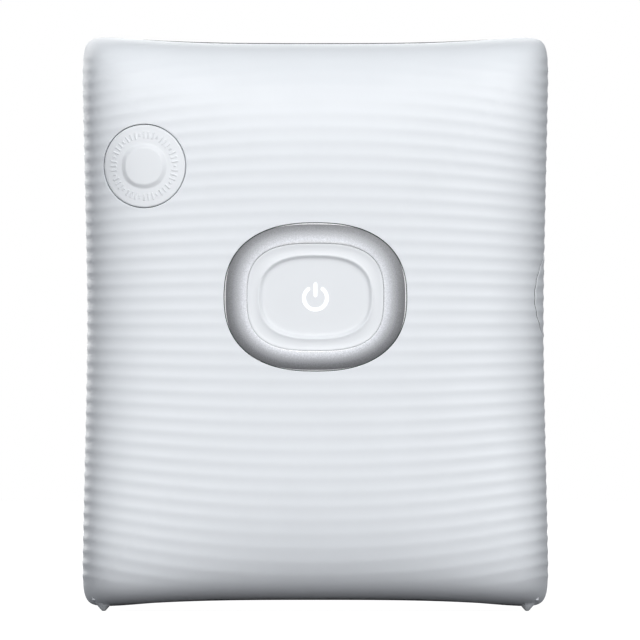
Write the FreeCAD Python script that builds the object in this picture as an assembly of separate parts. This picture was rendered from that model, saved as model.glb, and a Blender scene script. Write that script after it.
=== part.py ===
import FreeCAD, Part
import math
import os

os.makedirs("parts", exist_ok=True)

V = FreeCAD.Vector

# ---------------------------------------------------------------------------
# Driving dimensions, mm.  X is to the right seen from the front, the front
# faces -Y, Z is up.  The origin is under the middle of the part, at its feet.
# ---------------------------------------------------------------------------
MID_Z = 63.1            # height of the shell's centre line
SPLIT_Y = -1.2          # joint between front cover and rear frame
BULGE = 19.7            # depth of the pillow-shaped front
BACK_Y = 21.2           # back face
BACK_ROUND = 5.0        # rounding round the back face
WALL = 2.0              # shell wall
BACK_WALL = 2.6         # back face and film door
WAIST_X = 49.8          # half width at the waist
FLARE_X = 0.0248        # how much the sides open towards top and bottom
WAIST_SOFT = 12.0       # half height of the soft part of the waist
WAIST_Z = 60.85         # half height at the middle
FLARE_Z = 1.87          # extra half height at the sides
PILLOW_POWER = 7.0      # squareness of the pillow
PILLOW_EDGE = 0.4       # steepness of the pillow at its edge

POWER_Z = 68.5          # power button, centre height
OVAL_POWER = 2.4        # superellipse power of the ring
RING_A, RING_B = 20.05, 16.3
BUTTON_A, BUTTON_B = 14.9, 11.7
BUTTON_POWER = 2.9      # superellipse power of the button
DISH_A, DISH_B = 12.15, 8.7

FUNC_X, FUNC_Z = -37.1, 97.2
FUNC_R = 9.17
FUNC_GAP = 0.18
FUNC_SKIRT = 6.0        # depth of the function button's skirt
FUNC_PAD_R = 4.6

PORT_Y, PORT_Z = -1.6, 68.8
PORT_R = 9.2            # round front end of the port cover
PORT_BACK = 7.6         # its straight back edge
PORT_CORNER = 0.8
PORT_GAP = 0.3
PORT_WALL = 1.8
PORT_PIN = (49.0, 5.65)
PORT_PIN_R = 0.5
PORT_PIN_REACH = 10.6   # half length of the pin
PORT_FLOOR = 46.4       # outer face of the port tray's floor
RESET_Y = 4.2

CHAMBER_X = 40.2        # half width inside the film chamber
CHAMBER_Y = (-2.5, 17.9)
CHAMBER_Z = (8.0, 102.5)
CHAMBER_WALL = 1.5

DOOR_X = (-40.4, 41.6)
DOOR_Z = (9.0, 105.0)
DOOR_GAP = 0.35
HINGE_Y = 19.9
HINGE_R = 1.3
PIN_R = 0.6
WINDOW_X = 3.5
WINDOW_Z = (74.0, 90.0)
LOCK_X = (29.6, 39.6)   # recess of the door lock
LOCK_Z = (49.0, 65.0)

FILM_Y = 1.9            # plane in which the print travels
ROLLER_Z = 113.0
ROLLER_R = 3.45
ROLLER_X = 37.4
SHAFT_R = 1.2
RUN = 0.05              # radial running clearance

MODULE = 0.5
TEETH_ROLLER = 14
TEETH_MOTOR = 18
TEETH_CAM = 30
GEAR_X = (42.4, 43.6)
DRIVE = (FILM_Y - MODULE * TEETH_ROLLER / 2, ROLLER_Z)
PINCH = (FILM_Y + MODULE * TEETH_ROLLER / 2, ROLLER_Z)
MOTOR_Z = 109.0
MOTOR_R = 4.0

PLATE_X = (38.6, 40.2)
FLAP = (4.5, 119.2)     # hinge line of the slot flap
FLAP_X = 36.4
SLOT_X = 37.7
SLOT_Y = (-0.5, 4.3)
FRAME_SCREW_X, FRAME_SCREW_Y = 34.5, 6.2

BOARD_Y = (-11.2, -10.0)
BOARD_HOLES = [(-33, 29), (-33, 87), (40, 29), (40, 87)]
SCREW_X, SCREW_LOW, SCREW_HIGH = 44.4, 10.0, 119.2
FOOT_X = 46.2


# ---------------------------------------------------------------------------
# Shape helpers
# ---------------------------------------------------------------------------
def box(x, y, z):
    """Box from three (low, high) pairs."""
    return Part.makeBox(x[1] - x[0], y[1] - y[0], z[1] - z[0], V(x[0], y[0], z[0]))


def rod_x(r, x, y, z):
    return Part.makeCylinder(r, x[1] - x[0], V(x[0], y, z), V(1, 0, 0))


def rod_y(r, x, y, z):
    return Part.makeCylinder(r, y[1] - y[0], V(x, y[0], z), V(0, 1, 0))


def rod_z(r, x, y, z):
    return Part.makeCylinder(r, z[1] - z[0], V(x, y, z[0]), V(0, 0, 1))


def fuse(shapes):
    whole = shapes[0]
    for shape in shapes[1:]:
        whole = whole.fuse(shape)
    return whole.removeSplitter()


def both_sides(shape):
    """The shape and its mirror image across the middle plane."""
    return [shape, shape.mirror(V(0, 0, 0), V(1, 0, 0))]


def oval(a, b, y, power=OVAL_POWER, centre=POWER_Z, count=32):
    """Closed superellipse wire in a plane of constant Y."""
    points = []
    for k in range(count):
        t = 2 * math.pi * k / count
        c, s = math.cos(t), math.sin(t)
        points.append(V(math.copysign(a * abs(c) ** (2 / power), c), y,
                        centre + math.copysign(b * abs(s) ** (2 / power), s)))
    curve = Part.BSplineCurve()
    curve.interpolate(Points=points, PeriodicFlag=True)
    return Part.Wire([curve.toShape()])


def oval_prism(a, b, y, power=OVAL_POWER):
    face = Part.Face(oval(a, b, y[0], power))
    return face.extrude(V(0, y[1] - y[0], 0))


def oval_ring(outer, inner, y, power=OVAL_POWER, inner_power=OVAL_POWER):
    hole = (y[0] - 1, y[1] + 1)
    return oval_prism(outer[0], outer[1], y, power).cut(
        oval_prism(inner[0], inner[1], hole, inner_power))


def round_plate(x, y, z, r):
    """Plate in the XZ plane with round corners."""
    plate = box(x, y, z)
    edges = [e for e in plate.Edges if abs(e.tangentAt(e.FirstParameter).y) > 0.9]
    return plate.makeFillet(r, edges)


def coil(radius, wire, z, turns, x, y):
    """Coil spring along Z."""
    height = z[1] - z[0] - 2 * wire
    helix = Part.Wire(Part.makeHelix(height / turns, height, radius).Edges)
    ring = Part.Wire([Part.makeCircle(wire, V(radius, 0, 0), V(0, 1, 0))])
    spring = helix.makePipeShell([ring], True, True)
    spring.translate(V(x, y, z[0] + wire))
    return spring


# ---------------------------------------------------------------------------
# Shell surface
# ---------------------------------------------------------------------------
def half_width(z, inset=0.0):
    dz = z - MID_Z
    return WAIST_X - inset + FLARE_X * (math.hypot(dz, WAIST_SOFT) - WAIST_SOFT)


def half_height(x, inset=0.0):
    return WAIST_Z - inset + FLARE_Z * (abs(x) / 50.0) ** 3


def pillow(u):
    """Height of the pillow across one direction, 1 in the middle and 0 at the edge."""
    return max(0.0, 1.0 - u ** PILLOW_POWER) ** PILLOW_EDGE


def contour_share(share, du, dv):
    """Length of the ray (du, dv) to the contour at that share of the depth."""
    low, high = 0.0, 1.0 / max(du, dv)
    for _ in range(60):
        mid = (low + high) / 2
        if pillow(mid * du) + pillow(mid * dv) > 1.0 + share:
            low = mid
        else:
            high = mid
    return low


def contour_points(share, inset=0.0, per_side=12):
    """Points round the shell where the pillow has that share of its depth, as (x, z)."""
    points = []
    half = per_side // 2
    for side in range(4):
        for k in range(-half, half):
            t = math.sin(k * math.pi / 2 / half)
            u, v = [(1, t), (-t, 1), (-1, -t), (t, -1)][side]
            r = contour_share(share, abs(u), abs(v))
            x, z = 0.0, MID_Z
            for _ in range(8):
                x = r * u * half_width(z, inset)
                z = MID_Z + r * v * half_height(x, inset)
            points.append((x, z))
    return points


def shared_knots():
    """One parameter spacing for all contours, so that their lofts stay smooth."""
    points = contour_points(0.3)
    knots = [0.0]
    for k, p in enumerate(points):
        q = points[(k + 1) % len(points)]
        knots.append(knots[-1] + math.dist(p, q))
    return knots


KNOTS = shared_knots()


def contour(y, share=0.0, inset=0.0):
    points = [V(x, y, z) for x, z in contour_points(share, inset)]
    curve = Part.BSplineCurve()
    curve.interpolate(Points=points, PeriodicFlag=True, Parameters=KNOTS)
    return Part.Wire([curve.toShape()])


def contour_prism(y, share=0.0, inset=0.0):
    face = Part.Face(contour(y[0], share, inset))
    return face.extrude(V(0, y[1] - y[0], 0))


def front_body(inset=0.0):
    """Solid pillow in front of the split plane."""
    depth = BULGE - inset
    shares = [0.0, 0.06, 0.14, 0.24, 0.36, 0.50, 0.63, 0.75, 0.85, 0.92, 0.965, 0.99, 0.998]
    wires = [contour(SPLIT_Y - depth * s, s, inset) for s in shares]
    return Part.makeLoft(wires, True, False)


def rear_body(inset=0.0, back=BACK_Y, rounding=BACK_ROUND):
    """Solid block behind the split plane, with a rounded back edge."""
    start = back - rounding
    block = contour_prism((SPLIT_Y, start), 0.0, inset)
    wires = []
    for deg in (0, 15, 30, 45, 60, 75, 90):
        t = math.radians(deg)
        step = rounding * (1 - math.cos(t))
        wires.append(contour(start + rounding * math.sin(t), 0.0, inset + step))
    return fuse([block, Part.makeLoft(wires, True, False)])


def front_y(x, z, inset=0.0):
    """Y of the front surface."""
    u = abs(x) / half_width(z, inset)
    v = abs(z - MID_Z) / half_height(x, inset)
    return SPLIT_Y - (BULGE - inset) * (pillow(u) + pillow(v) - 1.0)


FRONT = front_body()
FRONT_INNER = front_body(WALL)
REAR = rear_body()
REAR_INNER = rear_body(WALL, BACK_Y - BACK_WALL, BACK_ROUND - WALL)


# ---------------------------------------------------------------------------
# Function button: a tilted frame on the curved front
# ---------------------------------------------------------------------------
def function_frame():
    """Point on the front and the outward direction there."""
    step = 0.01
    y = front_y(FUNC_X, FUNC_Z)
    dx = (front_y(FUNC_X + step, FUNC_Z) - front_y(FUNC_X - step, FUNC_Z)) / (2 * step)
    dz = (front_y(FUNC_X, FUNC_Z + step) - front_y(FUNC_X, FUNC_Z - step)) / (2 * step)
    out = V(dx, -1, dz)
    out.normalize()
    return V(FUNC_X, y, FUNC_Z), out


FUNC_AT, FUNC_OUT = function_frame()
FUNC_PLACE = FreeCAD.Placement(FUNC_AT, FreeCAD.Rotation(V(0, 0, 1), FUNC_OUT))


def on_function(shape):
    """Move a shape drawn with +Z outwards onto the function button's frame."""
    moved = shape.copy()
    moved.Placement = FUNC_PLACE.multiply(moved.Placement)
    return moved


# ---------------------------------------------------------------------------
# Gears, all with their axes along X
# ---------------------------------------------------------------------------
def involute(angle):
    return math.tan(angle) - angle


def gear(teeth, centre, phase, bore, x=GEAR_X):
    """Spur gear with a tooth centred on the phase angle, measured from +Y towards +Z."""
    pitch = MODULE * teeth / 2
    base = pitch * math.cos(math.radians(20))
    root = pitch - 1.2 * MODULE
    tip = pitch + 0.65 * MODULE
    half_tooth = math.pi / (2 * teeth) * 0.86 + involute(math.radians(20))
    flank = []
    for k in range(5):
        r = base + (tip - base) * k / 4
        flank.append((r, half_tooth - involute(math.acos(min(1.0, base / r)))))
    flank.insert(0, (root, half_tooth * 0.88))
    points = []
    for n in range(teeth):
        middle = phase + 2 * math.pi * n / teeth
        outline = [(r, middle - a) for r, a in flank] + [(r, middle + a) for r, a in reversed(flank)]
        for r, a in outline:
            points.append(V(x[0], centre[0] + r * math.cos(a), centre[1] + r * math.sin(a)))
    points.append(points[0])
    body = Part.Face(Part.makePolygon(points)).extrude(V(x[1] - x[0], 0, 0))
    return body.cut(rod_x(bore, (x[0] - 1, x[1] + 1), centre[0], centre[1]))


def mesh_phase(phase, teeth, other_teeth, direction):
    """Phase of the mating gear, seen from the first gear in that direction."""
    lead = phase - direction
    return direction + math.pi - lead * teeth / other_teeth + math.pi / other_teeth


def centre_distance(first, second):
    return MODULE * (first + second) / 2


motor_drop = MOTOR_Z - ROLLER_Z
motor_reach = math.sqrt(centre_distance(TEETH_ROLLER, TEETH_MOTOR) ** 2 - motor_drop ** 2)
MOTOR = (PINCH[0] + motor_reach, MOTOR_Z)
cam_shift = -2.0
cam_drop = math.sqrt(centre_distance(TEETH_ROLLER, TEETH_CAM) ** 2 - cam_shift ** 2)
CAM = (DRIVE[0] + cam_shift, DRIVE[1] - cam_drop)

PHASE_DRIVE = 0.0
PHASE_PINCH = mesh_phase(PHASE_DRIVE, TEETH_ROLLER, TEETH_ROLLER, 0.0)
PHASE_MOTOR = mesh_phase(PHASE_PINCH, TEETH_ROLLER, TEETH_MOTOR, math.atan2(motor_drop, motor_reach))
PHASE_CAM = mesh_phase(PHASE_DRIVE, TEETH_ROLLER, TEETH_CAM, math.atan2(-cam_drop, cam_shift))

parts = {}

# ---------------------------------------------------------------------------
# Tools that cut several pieces
# ---------------------------------------------------------------------------
feet = [Part.Face(Part.makePolygon([V(FOOT_X - 2.2, -4, 2.3), V(FOOT_X - 1.2, -4, 0.35),
                                    V(FOOT_X - 0.6, -4, 0), V(FOOT_X + 0.6, -4, 0),
                                    V(FOOT_X + 1.2, -4, 0.35), V(FOOT_X + 2.2, -4, 2.3),
                                    V(FOOT_X - 2.2, -4, 2.3)])).extrude(V(0, 20, 0))]
feet = both_sides(feet[0])



def port_arch(x, grow):
    """Prism along X, round at the front and square at the hinge."""
    reach = PORT_R + grow
    block = box(x, (PORT_Y, PORT_BACK + grow), (PORT_Z - reach, PORT_Z + reach))
    corners = [e for e in block.Edges if e.BoundBox.XLength > 1 and e.BoundBox.YMin > PORT_Y + 1]
    return rod_x(reach, x, PORT_Y, PORT_Z).fuse(block.makeFillet(PORT_CORNER, corners)).removeSplitter()


port_hole = port_arch((PORT_FLOOR, 60), PORT_GAP)
function_hole = on_function(Part.makeCylinder(FUNC_R + FUNC_GAP, 20, V(0, 0, -14)))
screw_spots = [(sx * SCREW_X, z) for sx in (-1, 1) for z in (SCREW_LOW, SCREW_HIGH)]

# ---------------------------------------------------------------------------
# Front cover
# ---------------------------------------------------------------------------
front_bosses = [rod_y(2.2, x, (-14, SPLIT_Y), z) for x, z in screw_spots]
function_posts = [on_function(Part.makeCylinder(1.5, 8.5, V(11.2, dy, -8.5))) for dy in (-5.5, 5.5)]
inside_parts = Part.makeCompound(front_bosses + function_posts).common(FRONT)
front_cover = fuse([FRONT.cut(FRONT_INNER)] + inside_parts.Solids)
for x, z in screw_spots:
    front_cover = front_cover.cut(rod_y(1.0, x, (-8.6, SPLIT_Y + 1), z))
front_cover = front_cover.cut(oval_prism(RING_A + 0.2, RING_B + 0.2, (-30, -17)))
front_cover = front_cover.cut(function_hole)
front_cover = front_cover.cut(port_hole)
front_cover = front_cover.cut(feet[0]).cut(feet[1])
parts["front_cover"] = front_cover

# ---------------------------------------------------------------------------
# Rear frame
# ---------------------------------------------------------------------------
lip = contour_prism((-3.2, SPLIT_Y), 0.12, WALL + 0.15).cut(
    contour_prism((-4, 1), 0.12, WALL + 1.1))
lip_root = contour_prism((SPLIT_Y, 0.3), 0.0, 1.2).cut(contour_prism((-4, 1), 0.12, WALL + 1.1))
rear_bosses = [rod_y(2.2, x, (SPLIT_Y, 19.8), z) for x, z in screw_spots]
rear_frame = fuse([REAR.cut(REAR_INNER), lip, lip_root] + rear_bosses)
rear_frame = rear_frame.cut(box((DOOR_X[0] - HINGE_R - DOOR_GAP, DOOR_X[1] + DOOR_GAP + 0.1),
                                (18.0, 22), (DOOR_Z[0] - 0.4, DOOR_Z[1] + 0.4)))
rear_frame = rear_frame.cut(rod_z(PIN_R + RUN, DOOR_X[0], HINGE_Y, (5.9, 108.1)))
for x, z in screw_spots:
    rear_frame = rear_frame.cut(rod_y(1.0, x, (-4, 21), z))
    rear_frame = rear_frame.cut(rod_y(2.0, x, (19.8, 22), z))
    rear_frame = rear_frame.cut(rod_y(2.3, x, (-4, SPLIT_Y), z))
rear_frame = rear_frame.cut(box((-SLOT_X, SLOT_X), SLOT_Y, (119, 127)))
rear_frame = rear_frame.cut(port_hole)
pin_hole = (PORT_Z - PORT_PIN_REACH - 0.2, PORT_Z + PORT_PIN_REACH + 0.2)
rear_frame = rear_frame.cut(rod_z(PORT_PIN_R + RUN, PORT_PIN[0], PORT_PIN[1], pin_hole))
rear_frame = rear_frame.cut(feet[0]).cut(feet[1])
parts["rear_frame"] = rear_frame

parts["foot_left"] = feet[1]
parts["foot_right"] = feet[0]

# Lining of the print slot, flush with the top
slot_lining = box((-SLOT_X, SLOT_X), SLOT_Y, (121.9, 127)).common(REAR)
clear_slot = box((0.8 - SLOT_X, SLOT_X - 0.8), (SLOT_Y[0] + 0.8, SLOT_Y[1] - 0.8), (119, 130))
parts["slot_lining"] = slot_lining.cut(clear_slot)

# ---------------------------------------------------------------------------
# Power ring, power button and light guide
# ---------------------------------------------------------------------------
ring = oval_ring((RING_A, RING_B), (BUTTON_A, BUTTON_B), (-21.2, -18.8), OVAL_POWER, BUTTON_POWER)
rims = [e for e in ring.Edges if e.BoundBox.YMax < -21.19]
ring = ring.makeFillet(0.4, rims)
ring_flange = oval_ring((RING_A + 2, RING_B + 2), (BUTTON_A, BUTTON_B), (-18.8, -17.9),
                        OVAL_POWER, BUTTON_POWER)
parts["power_ring"] = fuse([ring, ring_flange])

cap = oval_prism(BUTTON_A - 0.15, BUTTON_B - 0.15, (-21.0, -17.75), BUTTON_POWER)
dish = Part.makeLoft([oval(BUTTON_A - 0.8, BUTTON_B - 0.8, -21.05, BUTTON_POWER),
                      oval(DISH_A, DISH_B, -20.5, BUTTON_POWER)], True, True)
cap = cap.cut(dish)
cap = cap.cut(oval_prism(BUTTON_A - 2, BUTTON_B - 2, (-19.3, -17), BUTTON_POWER))
cap_flange = oval_ring((BUTTON_A + 1.3, BUTTON_B + 1.3), (BUTTON_A - 2, BUTTON_B - 2),
                       (-17.75, -16.9), BUTTON_POWER, BUTTON_POWER)
stem = rod_y(2.0, 0, (-19.3, -15.65), POWER_Z)
parts["power_button"] = fuse([cap, cap_flange, stem])

guide = oval_ring((13.0, 10.2), (8.0, 5.6), (-16.1, -12.2))
guide_legs = [rod_y(0.8, x, (-12.3, BOARD_Y[0]), POWER_Z) for x in (-12.0, 12.0)]
parts["light_guide"] = fuse([guide] + guide_legs)

# ---------------------------------------------------------------------------
# Function button, its board and switch
# ---------------------------------------------------------------------------
disc = FRONT.common(on_function(Part.makeCylinder(FUNC_R, FUNC_SKIRT + 10, V(0, 0, -FUNC_SKIRT))))
disc = disc.cut(FRONT_INNER.common(on_function(Part.makeCylinder(FUNC_R - 1.3, 18, V(0, 0, -10)))))
pad = Part.makeCylinder(FUNC_PAD_R, 2.0, V(0, 0, -1.5))
pad = pad.makeFillet(0.45, [e for e in pad.Edges if e.BoundBox.ZMin > 0.4])
hooks = []
for ang in (0, 90, 270):
    hook = box((FUNC_R - 1.2, 10.3), (-1.5, 1.5), (-4.1, -3.3))
    hook = hook.fuse(box((FUNC_R - 1.2, FUNC_R - 0.1), (-1.5, 1.5), (-4.1, -1.6)))
    hook.rotate(V(0, 0, 0), V(0, 0, 1), ang)
    hooks.append(on_function(hook))
func_stem = on_function(Part.makeCylinder(1.5, 4.0, V(0, 0, -5.4)))
parts["function_button"] = fuse([disc, on_function(pad), func_stem] + hooks)

board = box((-7, 13.5), (-6.6, 7), (-9.5, -8.5))
parts["function_board"] = on_function(board)
switch = fuse([box((-2.3, 2.3), (-2.3, 2.3), (-8.5, -6.5)), Part.makeCylinder(1.0, 0.5, V(0, 0, -6.5))])
parts["function_switch"] = on_function(switch)

# ---------------------------------------------------------------------------
# Film chamber, seal and the parts mounted on it
# ---------------------------------------------------------------------------
cx, cy, cz, cw = CHAMBER_X, CHAMBER_Y, CHAMBER_Z, CHAMBER_WALL
chamber = fuse([
    box((-cx - cw, cx + cw), (cy[0] - cw, cy[0]), (cz[0] - cw, cz[1])),
    box((-cx - cw, cx + cw), (cy[0] - cw, cy[1]), (cz[0] - cw, cz[0])),
    box((-cx - cw, -cx), (cy[0] - cw, cy[1]), (cz[0] - cw, cz[1] + cw)),
    box((cx, cx + cw), (cy[0] - cw, cy[1]), (cz[0] - cw, cz[1] + cw)),
    box((-cx - cw, cx + cw), (4.0, cy[1]), (cz[1], cz[1] + cw)),
    box((cx, cx + cw), (-7, cy[0]), (97, 106.5)),
])
flange_right = box((cx + cw, 44.5), (17.2, 18.6), (16, 98))
flange_left = box((-44.5, -cx - cw), (17.2, 18.6), (16, 98))
board_posts = [rod_y(2.2, x, (BOARD_Y[1], cy[0] - cw), z) for x, z in BOARD_HOLES]
guides = [box((cx + cw, 44.2), (-3.2, 1.6), z) for z in ((36, 40), (82, 86))]
peg = box((cx + cw, 44.0), (1.8, 4.6), (19.2, 20.4))
chamber = fuse([chamber, flange_right, flange_left, peg] + board_posts + guides)
claw_way = box((42.1, 43.5), (-2.5, 0.9), (30, 90))
chamber = chamber.cut(claw_way)
chamber = chamber.cut(box((cx - 1, cx + cw + 1), (-0.7, 2.9), (11.5, 18.6)))
chamber = chamber.cut(box((cx - 1, 46), (16.9, 19), LOCK_Z))
for x, z in BOARD_HOLES:
    chamber = chamber.cut(rod_y(0.9, x, (-11, -5.2), z))
for x in (-FRAME_SCREW_X, FRAME_SCREW_X):
    chamber = chamber.cut(rod_z(0.8, x, FRAME_SCREW_Y, (102, 105)))
chamber = chamber.cut(rod_x(1.0, (cx - 1, cx + cw + 1), CAM[0], CAM[1]))
parts["film_chamber"] = chamber

seal = box((-cx - cw, cx + cw), (cy[1], 18.5), (cz[0] - cw, cz[1] + cw))
seal = seal.cut(box((-cx, cx), (17, 19), cz))
seal = seal.cut(box((cx - 1, cx + cw + 1), (17, 19), LOCK_Z))
parts["chamber_seal"] = seal

# ---------------------------------------------------------------------------
# Roller frame, rollers and gears
# ---------------------------------------------------------------------------
plates = both_sides(box(PLATE_X, (-8.6, 17.6), (104, 120.5)))
bridge = box((-PLATE_X[0], PLATE_X[0]), (-8.6, -7.4), (110, 119.5))
print_guide = box((-PLATE_X[0], PLATE_X[0]), (2.6, 3.8), (104, 108.5))
tabs = both_sides(box((30, PLATE_X[0]), (4.0, 8.0), (104, 105)))
frame = fuse(plates + [bridge, print_guide] + tabs)
frame = frame.common(fuse([FRONT_INNER, REAR_INNER]))
for y, z in (DRIVE, PINCH):
    frame = frame.cut(rod_x(2.4, (-50, 50), y, z))
frame = frame.cut(rod_x(1.1, (30, 50), MOTOR[0], MOTOR[1]))
frame = frame.cut(rod_x(0.5 + RUN, (-50, 50), FLAP[0], FLAP[1]))
for x in (-FRAME_SCREW_X, FRAME_SCREW_X):
    frame = frame.cut(rod_z(0.8, x, FRAME_SCREW_Y, (103, 106)))
parts["roller_frame"] = frame

bushings = []
for y, z in (DRIVE, PINCH):
    for bush in both_sides(rod_x(2.4, PLATE_X, y, z)):
        bushings.append(bush.cut(rod_x(SHAFT_R + RUN, (-50, 50), y, z)))
parts["roller_bushings"] = Part.makeCompound(bushings)

for name, (y, z), phase in (("drive", DRIVE, PHASE_DRIVE), ("pinch", PINCH, PHASE_PINCH)):
    sleeve = rod_x(ROLLER_R, (-ROLLER_X, ROLLER_X), y, z)
    parts[name + "_roller"] = sleeve.cut(rod_x(SHAFT_R, (-50, 50), y, z))
    parts[name + "_shaft"] = rod_x(SHAFT_R, (-PLATE_X[1] - 0.4, GEAR_X[1]), y, z)
    parts[name + "_gear"] = gear(TEETH_ROLLER, (y, z), phase, SHAFT_R)

motor = fuse([rod_x(MOTOR_R, (8, 33.5), MOTOR[0], MOTOR[1]),
              rod_x(3.0, (6.5, 8), MOTOR[0], MOTOR[1]),
              rod_x(MOTOR_R - 0.2, (33.5, PLATE_X[0]), MOTOR[0], MOTOR[1])])
parts["gear_motor"] = motor.cut(rod_x(1.0 + RUN, (36, 40), MOTOR[0], MOTOR[1]))
pinion = gear(TEETH_MOTOR, MOTOR, PHASE_MOTOR, 1.0)
parts["motor_pinion"] = fuse([pinion, rod_x(1.0, (36.2, 44.0), MOTOR[0], MOTOR[1])])

lobe = rod_x(4.0, (GEAR_X[1], 44.6), CAM[0], CAM[1] - 2.0)
cam = fuse([gear(TEETH_CAM, CAM, PHASE_CAM, 1.0 + RUN), lobe])
parts["cam_gear"] = cam.cut(rod_x(1.0 + RUN, (40, 50), CAM[0], CAM[1]))
parts["cam_axle"] = rod_x(1.0, (cx + 0.2, 44.7), CAM[0], CAM[1])

claw = fuse([box((42.2, 43.4), (-2.4, 0.8), (12, 90)),
             box((39.4, 42.3), (-0.2, 2.4), (12, 15)),
             box((42.2, 43.4), (-0.2, 2.4), (12, 15)),
             box((42.2, 43.4), (0.7, 4.4), (29.2, 30.4)),
             box((42.2, 45.6), (-2.4, 0.8), (86.5, 90)),
             box((44.8, 45.6), (-2.4, 0.8), (86.5, 110.2)),
             box((43.7, 45.6), (-2.4, 0.8), (108.6, 110.2))])
parts["film_claw"] = claw
parts["claw_spring"] = coil(0.8, 0.2, (20.4, 29.2), 9, 43.0, 3.2)

# ---------------------------------------------------------------------------
# Exposure head
# ---------------------------------------------------------------------------
head = box((-PLATE_X[0], PLATE_X[0]), (-8.4, 1.3), (104.4, 109.0))
head = head.cut(box((-39, 39), (-6.2, -1.0), (107.6, 110)))
groove = box((-36.3, 36.3), (0.3, 1.55), (105.4, 106.8))
parts["exposure_head"] = head.cut(groove)
parts["lens_strip"] = groove
parts["head_board"] = box((-36.5, 36.5), (-9.4, -8.4), (104.4, 109.0))
parts["ribbon_cable"] = box((8, 20), (-9.8, -9.4), (84, 107)).fuse(
    box((8, 20), (-10.0, -9.8), (84, 88))).removeSplitter()

# ---------------------------------------------------------------------------
# Slot flap
# ---------------------------------------------------------------------------
flap = fuse([box((-FLAP_X, FLAP_X), (0.6, FLAP[0]), (FLAP[1] - 0.3, FLAP[1] + 0.3)),
             rod_x(0.6, (-FLAP_X, FLAP_X), FLAP[0], FLAP[1]),
             rod_x(0.5, (-39.6, 39.6), FLAP[0], FLAP[1])])
parts["slot_flap"] = flap

# ---------------------------------------------------------------------------
# Main board and what stands on it
# ---------------------------------------------------------------------------
main_board = box((-36, 44.5), BOARD_Y, (26, 90))
for x, z in BOARD_HOLES:
    main_board = main_board.cut(rod_y(0.9, x, (-12, -9), z))
parts["main_board"] = main_board
shield = box((-30, -12), (-13.2, BOARD_Y[0]), (34, 56))
parts["processor_shield"] = shield.cut(box((-29.6, -12.4), (-12.8, -11), (34.4, 55.6)))
parts["power_switch"] = fuse([box((-3, 3), (-14.4, BOARD_Y[0]), (POWER_Z - 3, POWER_Z + 3)),
                              rod_y(1.7, 0, (-15.0, -14.3), POWER_Z)])
leds = []
for k in range(8):
    t = math.radians(22.5 + 45 * k)
    x, z = 10.4 * math.cos(t), POWER_Z + 7.9 * math.sin(t)
    leds.append(box((x - 0.8, x + 0.8), (BOARD_Y[0] - 0.8, BOARD_Y[0]), (z - 0.6, z + 0.6)))
parts["status_leds"] = Part.makeCompound(leds)

usb_y, usb_z = (BOARD_Y[1], BOARD_Y[1] + 3.26), PORT_Z
usb = round_plate((0, 3.26), (39.1, 46.4), (usb_z - 4.47, usb_z + 4.47), 1.2)
usb_hollow = round_plate((0.4, 2.86), (40.6, 47), (usb_z - 4.07, usb_z + 4.07), 0.9)
tongue = box((1.3, 1.95), (40.0, 45.6), (usb_z - 3.3, usb_z + 3.3))
usb = usb.cut(usb_hollow).fuse(tongue).removeSplitter()
usb.rotate(V(0, 0, 0), V(0, 0, 1), -90)
usb.translate(V(0, usb_y[1], 0))
parts["usb_socket"] = usb

# ---------------------------------------------------------------------------
# Port tray, port cover, reset key
# ---------------------------------------------------------------------------
tray = port_arch((PORT_FLOOR - 1, 48.5), PORT_GAP + 1.2).cut(port_arch((PORT_FLOOR, 50), PORT_GAP))
tray = tray.common(fuse([FRONT_INNER, REAR_INNER])).cut(rear_frame).cut(front_cover)
socket_way = box((45, 47), (usb_y[0] - 0.1, usb_y[1] + 0.1), (usb_z - 4.6, usb_z + 4.6))
tray = tray.cut(socket_way).cut(rod_x(1.2, (45, 47), RESET_Y, PORT_Z))
parts["port_tray"] = max(tray.Solids, key=lambda s: s.Volume)

port_shell = fuse([FRONT, REAR]).cut(fuse([front_body(PORT_WALL), rear_body(PORT_WALL)]))
pin_span = (PORT_Z - PORT_PIN_REACH, PORT_Z + PORT_PIN_REACH)
port_pin = rod_z(PORT_PIN_R, PORT_PIN[0], PORT_PIN[1], pin_span)
parts["port_cover"] = port_shell.common(port_arch((40, 60), 0)).cut(port_pin)
parts["port_pin"] = port_pin

parts["side_board"] = box((cx + cw, 42.5), (1.2, 9), (61.5, 76))
reset_box = box((42.5, 44.0), (RESET_Y - 1.5, RESET_Y + 1.5), (PORT_Z - 1.5, PORT_Z + 1.5))
parts["reset_switch"] = fuse([reset_box, rod_x(0.6, (43.9, 44.3), RESET_Y, PORT_Z)])
parts["reset_button"] = fuse([rod_x(1.1, (44.65, PORT_FLOOR - 0.1), RESET_Y, PORT_Z),
                              rod_x(1.6, (44.75, 45.3), RESET_Y, PORT_Z)])

# ---------------------------------------------------------------------------
# Battery
# ---------------------------------------------------------------------------
battery = box((-28, 22), (-9.4, -4.6), (32, 66))
parts["battery"] = battery.makeFillet(1.2, [e for e in battery.Edges if abs(e.tangentAt(0).z) > 0.9])
parts["battery_pad"] = box((-26, 20), (-4.6, -4.0), (34, 64))
parts["battery_lead"] = Part.makeCompound([rod_z(0.6, x, -7.6, (66, 73)) for x in (15.2, 18.4)])
parts["battery_connector"] = box((13, 21), (-10.0, -6.4), (73, 77.5))

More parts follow.
